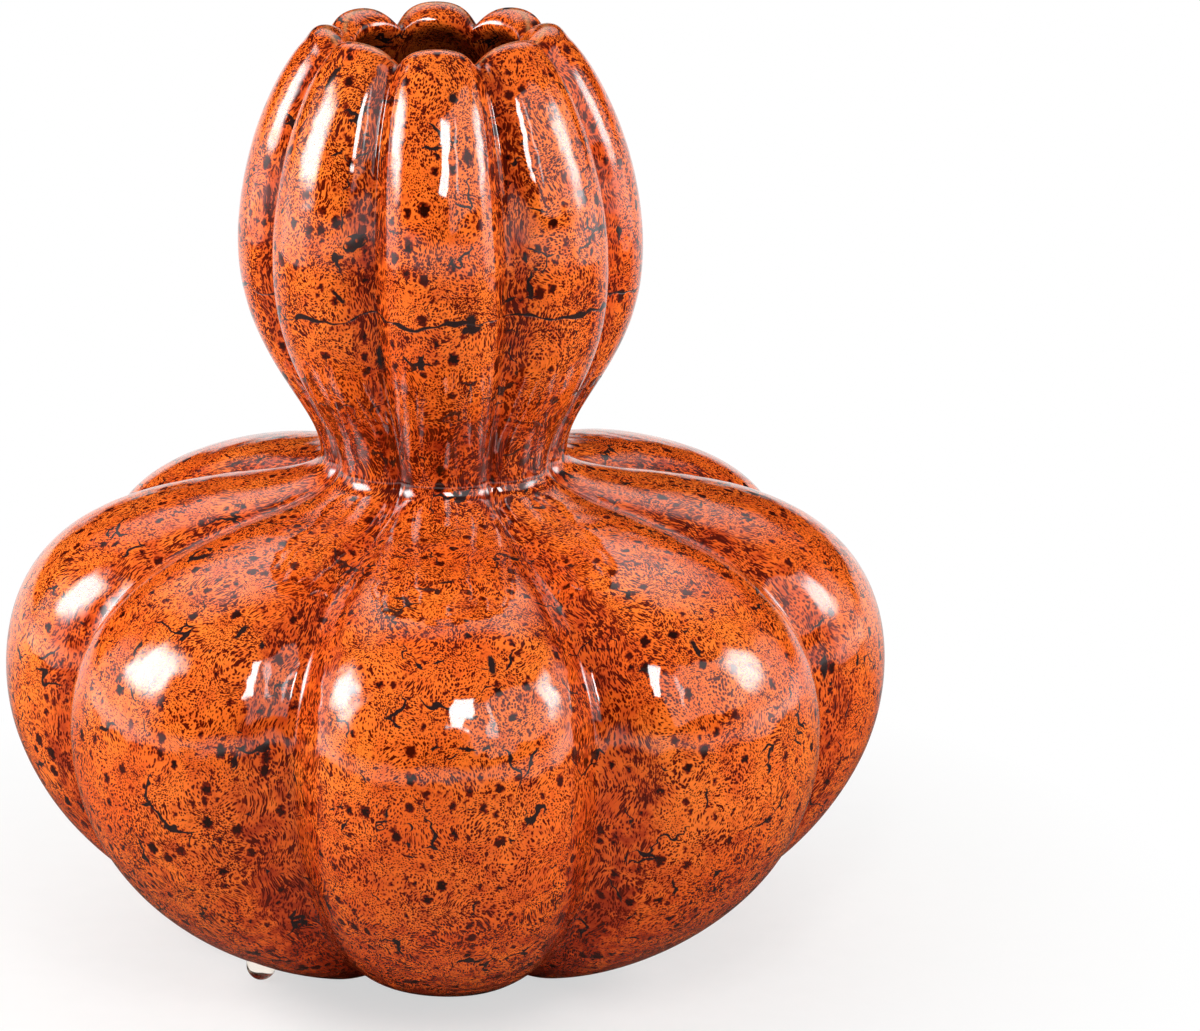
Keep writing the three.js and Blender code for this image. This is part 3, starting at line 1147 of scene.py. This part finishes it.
            size = spacing * self.worm_size
            maze = add(tree, Shader.NOISE, at, 1 / size, 1.0, 0.5, noise_dimensions="2D")
            limit = add(tree, Shader.MULTIPLY_ADD, density, -0.07, 0.69)
            worms = add(tree, Shader.SUBTRACT, maze, limit)
            worms = add(tree, Shader.RANGE, worms, -0.01, 0.06)
            size = spacing * self.net_size
            edges = add(
                tree, Shader.VORONOI, at, 1 / size, feature="DISTANCE_TO_EDGE", voronoi_dimensions="2D"
            )
            width = add(tree, Shader.RANGE, density, 0.25, 1.3, -0.32, -0.17)
            width = add(tree, Shader.MULTIPLY_ADD, maze, 0.5, width)
            net = add(tree, Shader.SUBTRACT, width, edges)
            net = add(tree, Shader.RANGE, net, -0.02, 0.1)
            both = add(tree, Shader.MAXIMUM, dots, worms)
            found.append(add(tree, Shader.MAXIMUM, both, net))
        specks = add(tree, Shader.MIX_VALUE, zones["valley"], *found)
        return add(tree, Shader.MULTIPLY, specks, 0.8)

    def _spots(self, tree: Tree, place: Pattern) -> tuple[Pattern, Pattern]:
        """Frayed spots of one to five millimetres, with a ring of plain orange round most of them.

        Args:
            tree: The node tree.
            place: The place on the object, in millimetres.

        Returns:
            How dark the spots are, and 0 where their plain rings are and 1 elsewhere.
        """
        fray = add(tree, Shader.NOISE, place, 1 / self.spot_fray, 1.0).outputs["Color"]
        at = add(tree, Shader.VECTOR_MULTIPLY_ADD, fray, (3.2, 3.2, 3.8), place)
        at = add(tree, Shader.VECTOR_MULTIPLY, at, (1.0, 1.0, 0.75))
        cells = add(tree, Shader.VORONOI, at, 1 / self.spot_spacing)
        pick = add(tree, Shader.SPLIT_COLOUR, cells.outputs["Color"])
        large = add(tree, Shader.POWER, pick.outputs[0], 2.2)
        widest = self.spot_radius / self.spot_spacing
        radius = add(tree, Shader.RANGE, large, 0.0, 1.0, 0.1, widest)
        inside = add(tree, Shader.SUBTRACT, radius, cells.outputs["Distance"])
        spots = add(tree, Shader.RANGE, inside, -0.06, 0.13)
        shut = add(tree, Shader.RANGE, pick.outputs[2], 0.0, 1.0, 0.86, 1.0)
        spots = add(tree, Shader.MULTIPLY, spots, shut)
        plain = add(tree, Shader.RANGE, inside, -0.23, -0.09, 1.0, 0.0)
        unringed = add(tree, Shader.LESS_THAN, pick.outputs[1], 0.35)
        return spots, add(tree, Shader.MAXIMUM, plain, unringed)

    def _cracks(self, tree: Tree, place: Pattern) -> Pattern:
        """Crawled cracks, tapered and here and there forked, and short curling hairlines.

        Args:
            tree: The node tree.
            place: The place on the object, in millimetres.

        Returns:
            How far the cracks are open, from 0 to 1.
        """
        sway = add(tree, Shader.NOISE, place, 1 / self.crack_sway, 2.0, 0.6)
        at = add(tree, Shader.VECTOR_MULTIPLY_ADD, sway.outputs["Color"], (self.crack_bend,) * 3, place)
        edges = add(tree, Shader.VORONOI, at, 1 / self.crack_spacing, feature="DISTANCE_TO_EDGE")
        gap = add(tree, Shader.MULTIPLY, edges, self.crack_spacing)
        where = add(tree, Shader.NOISE, place, 1 / self.crack_patch, 1.0)
        curl = add(tree, Shader.NOISE, place, 1 / self.hair_curl, 1.0)
        off = add(tree, Shader.SUBTRACT, curl, 0.5)
        off = add(tree, Shader.ABSOLUTE, off)
        off = add(tree, Shader.MULTIPLY, off, self.hair_reach)
        opened = []
        for middle, share, low, high, closed, width in (
            (gap, where, 0.485, 0.68, -0.25, self.crack_width),
            (off, sway.outputs["Fac"], 0.58, 0.7, -0.2, self.hair_width),
        ):
            room = add(tree, Shader.RANGE, share, low, high, closed, width)
            inside = add(tree, Shader.SUBTRACT, room, middle)
            opened.append(add(tree, Shader.RANGE, inside, 0.0, 0.25))
        return add(tree, Shader.MAXIMUM, *opened)

    def _gaps(self, tree: Tree, place: Pattern, body: Body, found: Pattern) -> Pattern:
        """The larger gaps in the top coat, each at its own place.

        Args:
            tree: The node tree.
            place: The place on the object, in millimetres.
            body: The body that the gaps lie on.
            found: How far the cracks are open.

        Returns:
            How far the base coat is open, with the gaps too.
        """
        fray = add(tree, Shader.NOISE, place, 1 / self.gap_fray, 1.0)
        moved = Vector((self.gap_raggedness,) * 3)
        ragged = add(tree, Shader.VECTOR_MULTIPLY_ADD, fray.outputs["Color"], moved, place)
        for gap in self.gaps:
            point, around, down = body.place(gap.angle, gap.height)
            out = around.cross(down)
            turned = Quaternion(out, math.radians(gap.turn))
            axes = Matrix((turned @ around, turned @ down, out)).transposed()
            near = add(
                tree,
                Shader.MAPPING,
                named={
                    "Vector": ragged,
                    "Location": point + moved / 2,
                    "Rotation": axes.to_euler(),
                    "Scale": (gap.width / 2, gap.length / 2, 6.0),
                },
                vector_type="TEXTURE",
            )
            away = add(tree, Shader.VECTOR_LENGTH, near).outputs["Value"]
            shown = add(tree, Shader.RANGE, away, 0.75, 1.1, 1.0, 0.0)
            found = add(tree, Shader.MAXIMUM, found, shown)
        return found

    def _colour(
        self, tree: Tree, specks: Pattern, open_base: Pattern, zones: dict[str, Pattern]
    ) -> Pattern:
        """The colour of the glaze.

        Args:
            tree: The node tree.
            specks: How dark the fine specks are.
            open_base: How far the base coat is open.
            zones: The nodes of _zones.

        Returns:
            The colour's node.
        """
        lip = add(tree, Shader.ATTRIBUTE, attribute_name=Flow.LIP.value).outputs["Fac"]
        flow = add(tree, Shader.ATTRIBUTE, attribute_name=Flow.CREST.value).outputs["Vector"]
        flow = add(tree, Shader.SPLIT, flow).outputs["Y"]
        # Painted shade: the inner wall is painted browner the further down the throat it lies.
        within = add(tree, Shader.RANGE, flow, -self.throat_depth, 0.0, 0.8, 0.0)
        rim = add(tree, Shader.RANGE, specks, 0.0, 0.5)
        core = add(tree, Shader.RANGE, specks, 0.3, 1.0)
        # Where the painted shade and the blush are strongest the orange turns brown.
        depth = add(tree, Shader.RANGE, zones["redder_and_painted_shade"], 0.6, 1.3)
        colour = linear(self.orange)
        for share, hue in (
            (zones["tone"], self.light_orange),
            (zones["redder_and_painted_shade"], self.red_orange),
            (depth, self.brown),
            (within, self.throat_painted_shade),
            (rim, self.speck_rim),
            (core, self.speck),
            (lip, self.amber),
            (open_base, self.base_coat),
        ):
            colour = add(tree, Shader.MIX_COLOUR, share, colour, linear(hue))
        return colour

    def _bare_foot(
        self, tree: Tree, place: Pattern, height: Socket, colour: Pattern
    ) -> tuple[Pattern, Pattern]:
        """The foot, wiped clean of glaze so that it doesn't stick to the kiln shelf.

        Args:
            tree: The node tree.
            place: The place on the object, in millimetres.
            height: Its height.
            colour: The colour of the glaze.

        Returns:
            Where the clay is bare, and the colour of glaze and clay together.
        """
        wiped = add(tree, Shader.NOISE, place, 1 / self.wipe_width, 2.0)
        sway, low = self.wipe_wander, self.bare_height - self.wipe_wander / 2
        edge = add(tree, Shader.MULTIPLY_ADD, wiped, sway, low)
        under = add(tree, Shader.LESS_THAN, height, edge)
        grain = add(tree, Shader.NOISE, place, 1 / self.clay_grain, 3.0)
        clay = add(tree, Shader.MIX_COLOUR, grain, linear(self.bare_clay), linear(self.bare_clay_shade))
        return under, add(tree, Shader.MIX_COLOUR, under, colour, clay)

    def _relief(self, tree: Tree, place: Pattern, line: Pattern, below: Pattern) -> Pattern:
        """The glaze's skin: slow waves, a fine orange peel, the crawled line and the run's edge.

        Args:
            tree: The node tree.
            place: The place on the object, in millimetres.
            line: How far the crawled line is open.
            below: Which places lie below the run's edge.

        Returns:
            The bump node.
        """
        peel = add(tree, Shader.NOISE, place, 1 / self.peel_width, 1.0)
        fine = add(tree, Shader.NOISE, place, 1 / self.fine_peel_width, 1.0)
        height = add(tree, Shader.MULTIPLY, peel, self.peel_depth)
        for part, step in (
            (fine, self.fine_peel_depth),
            (line, -self.crawl_sink),
            (below, -self.pour_step),
        ):
            height = add(tree, Shader.MULTIPLY_ADD, part, step, height)
        return add(tree, Shader.BUMP, named={"Height": height, "Strength": 1.0, "Distance": MM})


@dataclass(frozen=True)
class LutingSlip:
    """Fired stoneware slip, smeared by finger inside the joint: matt, buff and slightly rough."""

    name: str = "fired_luting_slip"
    buff: str = "#B99C78"
    shade: str = "#8F714F"
    roughness: float = 0.82
    finger_width: float = 9.0
    grit: float = 0.5
    relief: float = 0.1

    def material(self) -> bpy.types.Material:
        """Builds the slip's material.

        Returns:
            The material, with the finger's smears standing higher than the grit.
        """
        material, tree = new_tree(self.name)
        place = place_in_millimetres(tree)
        smear = add(tree, Shader.NOISE, place, 1 / self.finger_width, 3.0)
        grain = add(tree, Shader.NOISE, place, 1 / self.grit, 2.0)
        colour = add(tree, Shader.MIX_COLOUR, smear, linear(self.buff), linear(self.shade))
        height = add(tree, Shader.MULTIPLY_ADD, smear, 4.0, grain)
        bump = add(
            tree, Shader.BUMP, named={"Height": height, "Strength": 0.6, "Distance": self.relief * MM}
        )
        surface = add(
            tree,
            Shader.PRINCIPLED,
            named={"Base Color": colour, "Roughness": self.roughness, "Normal": bump},
        )
        add(tree, Shader.OUTPUT, surface)
        return material


@dataclass(frozen=True)
class ClearPolyurethane:
    """Cast clear polyurethane, soft and glossy, with a faint warm tint and a slightly uneven skin."""

    name: str = "cast_clear_polyurethane"
    tint: str = "#FFF7EE"
    thick_tint: str = "#F6E9DA"
    roughness: float = 0.06
    ior: float = 1.49
    unevenness: float = 2.5
    relief: float = 0.06

    def material(self) -> bpy.types.Material:
        """Builds the domes' material.

        Returns:
            The material, which lets light through.
        """
        material, tree = new_tree(self.name)
        place = place_in_millimetres(tree)
        skin = add(tree, Shader.NOISE, place, 1 / self.unevenness, 1.0)
        tint = add(tree, Shader.MIX_COLOUR, skin, linear(self.tint), linear(self.thick_tint))
        bump = add(tree, Shader.BUMP, named={"Height": skin, "Strength": 0.4, "Distance": self.relief * MM})
        surface = add(
            tree,
            Shader.PRINCIPLED,
            named={
                "Base Color": tint,
                "Roughness": self.roughness,
                "IOR": self.ior,
                "Transmission Weight": 1.0,
                "Normal": bump,
            },
        )
        add(tree, Shader.OUTPUT, surface)
        return material


def dress(obj: bpy.types.Object, material: bpy.types.Material, slot: Slot, *nodes: Node) -> None:
    """Gives a piece its finish and ties it to the frame.

    Args:
        obj: The piece.
        material: Its material.
        slot: The record's slot for its finish. It is not used.
        *nodes: The CAD nodes that it stands for.
    """
    obj.data.materials.append(material)
    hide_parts(*(node.value for node in nodes))
    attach(obj, "root")
    log.info("%s: %d faces, for %s", obj.name, len(obj.data.polygons), ", ".join(n.value for n in nodes))


@dataclass
class UpperGourd:
    """The upper casting: a lobed bulb whose scalloped rim rolls in to the mouth."""

    body: Body
    finish: bpy.types.Material
    lip_width: float = 1.3
    lip_inward: float = 1.4
    lip_share: float = 0.6

    def build(self) -> bpy.types.Object:
        """Makes the bulb with its rim, where the glaze runs thin, and its inner face.

        Returns:
            The upper casting.
        """
        body = self.body
        outside = body.face(body.outer_upper)
        down = arc_lengths(outside.crest)
        from_rim = down - down[body.upper_rows[0]]
        lip = np.exp(-(((from_rim + self.lip_inward) / self.lip_width) ** 2)) * self.lip_share
        skin = body.skin()
        skin.add_face(outside, lip)
        skin.add_face(body.face(body.inner_upper, inside=True).upwards(skip=1))
        obj = skin.build("upper_gourd_glazed", body.ripple)
        dress(obj, self.finish, Slot.GLAZE, Node.UPPER_GOURD)
        return obj


@dataclass
class LowerGourd:
    """The lower casting: a lobed belly with its floor and its foot."""

    body: Body
    finish: bpy.types.Material

    def build(self) -> bpy.types.Object:
        """Makes the belly with its floor, foot and recess.

        Returns:
            The lower casting, whose glaze runs on from the upper one's.
        """
        body = self.body
        above = body.face(body.outer_upper)
        starts = above.crest_flow[-1], above.valley_flow[-1]
        skin = body.skin()
        skin.add_face(body.face(body.inner_lower, starts, inside=True).upwards())
        skin.add_face(body.face(body.outer_lower_and_foot, starts))
        poles = body.sizes.floor_thickness, body.sizes.recess_depth
        obj = skin.build("lower_gourd_glazed", body.ripple, poles)
        dress(obj, self.finish, Slot.GLAZE, Node.LOWER_GOURD)
        return obj


@dataclass
class WaistBead:
    """The bead of slip smeared over the joint inside the waist. The glaze hides the joint outside."""

    body: Body
    finish: bpy.types.Material
    tuck: float = 0.6
    rows: int = 12
    smear: float = 0.6

    def build(self) -> bpy.types.Object:
        """Makes the bead: a closed ring, rounded towards the axis.

        Returns:
            The bead.
        """
        sizes = self.body.sizes
        half = sizes.bead_height / 2
        # A cubic reaches three quarters of the way to its control points.
        swell = sizes.bead_thickness * 4 / 3 + self.tuck
        section = []
        for groove in (False, True):
            face = sizes.upper(groove)["waist"].radius - sizes.wall + self.tuck
            top = Station(face, sizes.waist_height + half, -150, 0, swell / (2 * half))
            low = Station(face, sizes.waist_height - half, -30, swell / (2 * half), 0)
            section.append(profile([top, low], [self.rows]))
        flow = np.zeros(len(section[0]))
        skin = self.body.skin()
        skin.add_face(WallFace(*section, flow, flow, inside=True))
        obj = skin.build("waist_slip_bead", replace(self.body.ripple, depth=self.smear))
        dress(obj, self.finish, Slot.SLIP, Node.WAIST_JOINT)
        return obj


@dataclass
class Bumper:
    """A clear stick-on dome under the lower gourd, standing on its flattened crown.

    Its back has rings at some shares of its radius. The edge is sharp where it creases by more
    degrees than the crease.
    """

    node: Node
    finish: bpy.types.Material
    steps: int = 48
    rings: int = 14
    flat: float = 0.4
    back_shares: tuple[float, ...] = (1.0, 0.75, 0.5, 0.25)
    crease: float = 40.0
    sunk: float = 0.02

    def build(self, casting: bpy.types.Object) -> bpy.types.Object:
        """Makes the dome and presses its back onto the glaze.

        Args:
            casting: The lower gourd, whose underside the dome sticks to.

        Returns:
            The dome.
        """
        low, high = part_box(self.node.value)
        centre = (low + high) / 2
        radius = (high.x - low.x) / 2
        glaze = BVHTree.FromObject(casting, bpy.context.evaluated_depsgraph_get())
        crown = radius - self.flat * MM
        start = math.asin(math.sqrt(radius**2 - crown**2) / radius)
        turns = np.linspace(start, math.pi / 2, self.rings)
        around = [i / self.steps * 2 * math.pi for i in range(self.steps)]
        ways = [(math.cos(angle), math.sin(angle)) for angle in around]
        points = [Vector((centre.x, centre.y, 0.0))]
        for turn in turns:
            reach, height = radius * math.sin(turn), crown - radius * math.cos(turn)
            points += [Vector((centre.x + reach * x, centre.y + reach * y, height)) for x, y in ways]
        for share in self.back_shares:
            reach = radius * share
            points += [self._seat(glaze, centre, reach * x, reach * y) for x, y in ways]
        points.append(self._seat(glaze, centre, 0.0, 0.0))
        rings = self.rings + len(self.back_shares)
        faces = [(face[0], *face[:0:-1]) for face in dish_faces(rings, self.steps)]
        last = 1 + (rings - 1) * self.steps
        faces += [(last + i, last + (i + 1) % self.steps, len(points) - 1) for i in range(self.steps)]
        obj = new_object(self.node.value + "_dome", points, faces)
        obj.data.set_sharp_from_angle(angle=math.radians(self.crease))
        dress(obj, self.finish, Slot.BUMPER, self.node)
        return obj

    def _seat(self, glaze: BVHTree, centre: Vector, x: float, y: float) -> Vector:
        """The point of the glaze over a place of the dome's back.

        Args:
            glaze: The lower gourd's faces.
            centre: The dome's middle.
            x: Offset from the middle.
            y: Offset from the middle.

        Returns:
            The point, a hair under the glaze.
        """
        below_ground = Vector((centre.x + x, centre.y + y, -0.01))
        hit = glaze.ray_cast(below_ground, Vector((0, 0, 1)))[0]
        return hit - Vector((0, 0, self.sunk * MM))


@dataclass(frozen=True)
class Softbox:
    """A studio lamp behind a diffuser, brighter in the middle than at its edges.

    The azimuth is in degrees from the camera to the right, the elevation in degrees above the
    horizon, the sizes in metres, the strength is the brightness of its middle, and the edge is the
    share over which it fades. The turn is its roll in degrees.
    """

    name: str
    azimuth: float
    elevation: float
    distance: float
    width: float
    height: float
    strength: float
    edge: float
    turn: float = 0.0

    def build(self, aim: Vector) -> None:
        """Makes the lamp.

        Args:
            aim: The point that it faces.
        """
        data = bpy.data.lights.new(self.name, "AREA")
        data.shape = "RECTANGLE"
        data.size = self.width
        data.size_y = self.height
        data.use_nodes = True
        data.energy = self.strength * math.pi * self.width * self.height
        tree = data.node_tree
        tree.nodes.clear()
        split = add(tree, Shader.SPLIT, add(tree, Shader.GEOMETRY).outputs["Parametric"])
        falls = []
        for axis in ("X", "Y"):
            off = add(tree, Shader.SUBTRACT, split.outputs[axis], 0.5)
            off = add(tree, Shader.ABSOLUTE, off)
            falls.append(add(tree, Shader.SMOOTHER_RANGE, off, 0.5 - self.edge, 0.5, 1.0, 0.0))
        glow = add(tree, Shader.MULTIPLY, *falls)
        add(tree, Shader.LIGHT_OUTPUT, add(tree, Shader.EMISSION, named={"Strength": glow}))
        azimuth, elevation = math.radians(self.azimuth), math.radians(self.elevation)
        level = math.cos(elevation)
        way = Vector((math.sin(azimuth) * level, -math.cos(azimuth) * level, math.sin(elevation)))
        lamp = bpy.data.objects.new(self.name, data)
        lamp.location = aim + way * self.distance
        lamp.rotation_euler = way.to_track_quat("Z", "Y").to_euler()
        lamp.rotation_euler.rotate_axis("Z", math.radians(self.turn))
        bpy.context.scene.collection.objects.link(lamp)
        log.info("lamp %s", self.name)


@dataclass
class Studio:
    """A plain pale floor that curves up into a low wall, soft lamps, a dim room and the camera.

    Lengths are in metres, apart from the lens, which is in millimetres. Round the vase the camera
    sees the floor's shadow, and further out white. Where the glaze mirrors the floor near the vase,
    in front of it and high on the wall, the floor is painted in a dark shade; far off and behind it,
    it is white.
    """

    floor_colour: str = "#EFEDEA"
    floor_fibre: str = "#E6E4E0"
    # The colour in which the glaze mirrors the floor near the vase, in front and high on the wall: painted
    # shade.
    floor_painted_shade: str = "#5C5955"
    floor_reach: float = 4.6
    cove_radius: float = 1.4
    wall_height: float = 3.2
    floor_steps: int = 96
    cove_rings: int = 12
    fibres_per_metre: float = 900.0
    lamp_aim_height: float = 0.2
    near_white: float = 0.62
    shade_reach: tuple[float, float] = (0.12, 0.32)
    # Where the glaze mirrors the floor as white: far off and behind the vase, below the dim height.
    # Elsewhere it mirrors painted shade.
    mirror_reach: tuple[float, float] = (1.2, 4.0)
    mirror_behind: tuple[float, float] = (0.15, 0.8)
    white_height: float = 0.1
    dim_height: float = 1.0
    room: str = "#FFFFFF"
    room_strength: float = 0.06
    camera_distance: float = 1.930
    camera_height: float = 0.8015
    aim_height: float = 0.1784
    lens: float = 149.6
    shift_x: float = 0.1297
    roll: float = 0.0055
    softboxes: tuple[Softbox, ...] = (
        Softbox("left_softbox", -80, 29, 0.93, 0.68, 0.7, 15.6, 0.4),
        Softbox("left_wall", -90, 7, 1.4, 1.9, 1.8, 1.3, 0.35),
        Softbox("right_softbox", 84, 25, 0.93, 0.48, 0.6, 11.0, 0.42),
        Softbox("right_wall", 92, 10, 1.4, 1.8, 1.6, 1.2, 0.35),
        Softbox("front_panel", 44, 32, 1.7, 2.1, 1.25, 1.18, 0.06),
        Softbox("front_strip_left", 8, 36, 0.8, 0.13, 0.36, 18.0, 0.12, -14.0),
        Softbox("front_strip_right", 27, 33, 1.3, 0.1, 0.7, 5.0, 0.25, -4.0),
        Softbox("back_panel", 180, 53, 1.6, 2.8, 1.9, 1.5, 0.4),
    )

    def build(self) -> None:
        """Makes the floor, the lamps, the room and the camera."""
        self._floor()
        aim = Vector((0.0, 0.0, self.lamp_aim_height))
        for softbox in self.softboxes:
            softbox.build(aim)
        world = bpy.data.worlds.new("studio_room")
        world.use_nodes = True
        background = world.node_tree.nodes["Background"]
        background.inputs["Color"].default_value = linear(self.room)
        background.inputs["Strength"].default_value = self.room_strength
        bpy.context.scene.world = world
        self._camera()

    def _floor(self) -> None:
        """Makes the floor and wall: a disc whose edge sweeps up all round."""
        turns = np.linspace(0, math.pi / 2, self.cove_rings + 1)[1:]
        reach, radius = self.floor_reach, self.cove_radius
        section = [(reach / 2, 0.0), (reach, 0.0)]
        section += [(reach + radius * math.sin(t), radius * (1 - math.cos(t))) for t in turns]
        section.append((reach + radius, self.wall_height))
        around = [2 * math.pi * i / self.floor_steps for i in range(self.floor_steps)]
        points = [(0.0, 0.0, 0.0)]
        for out, height in section:
            points += [(out * math.cos(angle), out * math.sin(angle), height) for angle in around]
        floor = new_object("studio_floor", points, dish_faces(len(section), self.floor_steps))
        floor.data.materials.append(self._paper())

    def _paper(self) -> bpy.types.Material:
        """White paper that the camera and the glaze see lit through, with the vase's shadow kept, and with
        painted shade where the glaze mirrors it near the vase, in front and high on the wall.

        Returns:
            The floor's material.
        """
        material, tree = new_tree("white_paper_floor")
        path = add(tree, Shader.LIGHT_PATH)
        glossy = path.outputs["Is Glossy Ray"]
        place = add(tree, Shader.PLACE).outputs["Object"]
        axes = add(tree, Shader.SPLIT, place)
        away = add(tree, Shader.VECTOR_LENGTH, place).outputs["Value"]
        seen = add(tree, Shader.RANGE, away, *self.shade_reach, self.near_white)
        seen = add(tree, Shader.MULTIPLY, path.outputs["Is Camera Ray"], seen)
        far_off = add(tree, Shader.RANGE, away, *self.mirror_reach)
        behind = add(tree, Shader.RANGE, axes.outputs["Y"], *self.mirror_behind)
        mirrored = add(tree, Shader.MAXIMUM, far_off, behind)
        low, high = self.white_height, self.dim_height
        lit = add(tree, Shader.SMOOTH_RANGE, axes.outputs["Z"], low, high, 1.0, 0.0)
        mirrored = add(tree, Shader.MULTIPLY, mirrored, lit)
        mirrored_white = add(tree, Shader.MULTIPLY, glossy, mirrored)
        for share in (mirrored_white, path.outputs["Is Transmission Ray"]):
            seen = add(tree, Shader.MAXIMUM, seen, share)
        fibre = add(tree, Shader.NOISE, named={"Scale": self.fibres_per_metre, "Detail": 2.0})
        # Painted shade: for mirrored rays the paper near the vase, in front and high on the wall turns
        # dark.
        shade = add(tree, Shader.SUBTRACT, 1.0, mirrored)
        shade = add(tree, Shader.MULTIPLY, glossy, shade)
        paper = linear(self.floor_colour)
        for share, hue in ((fibre, self.floor_fibre), (shade, self.floor_painted_shade)):
            paper = add(tree, Shader.MIX_COLOUR, share, paper, linear(hue))
        paper = add(tree, Shader.DIFFUSE, paper)
        white = add(tree, Shader.EMISSION, named={"Strength": 1.0})
        add(tree, Shader.OUTPUT, add(tree, Shader.MIX_SHADER, seen, paper, white))
        return material

    def _camera(self) -> None:
        """Makes the camera at the photograph's viewing angle."""
        data = bpy.data.cameras.new("photo_camera")
        data.sensor_width = 36.0
        data.lens = self.lens
        data.shift_x = self.shift_x
        camera = bpy.data.objects.new("photo_camera", data)
        camera.location = (0.0, -self.camera_distance, self.camera_height)
        aim = Vector((0.0, 0.0, self.aim_height)) - camera.location
        camera.rotation_euler = aim.to_track_quat("-Z", "Y").to_euler()
        camera.rotation_euler.rotate_axis("Z", -self.roll)
        bpy.context.scene.collection.objects.link(camera)
        bpy.context.scene.camera = camera


def main() -> None:
    """Builds the vase and its studio, and keeps the sizes of both models."""
    logging.basicConfig(level=logging.INFO, format="%(name)s: %(message)s")
    bpy.context.scene.view_settings.view_transform = "Standard"
    Studio().build()
    body = Body(GourdSizes.from_frame())
    glaze = ReactiveGlaze().material(body)
    UpperGourd(body, glaze).build()
    lower = LowerGourd(body, glaze).build()
    WaistBead(body, LutingSlip().material()).build()
    rubber = ClearPolyurethane().material()
    for node in (Node.BUMPER_FRONT_LEFT, Node.BUMPER_RIGHT, Node.BUMPER_BACK):
        Bumper(node, rubber).build(lower)


if __name__ == "__main__":
    main()
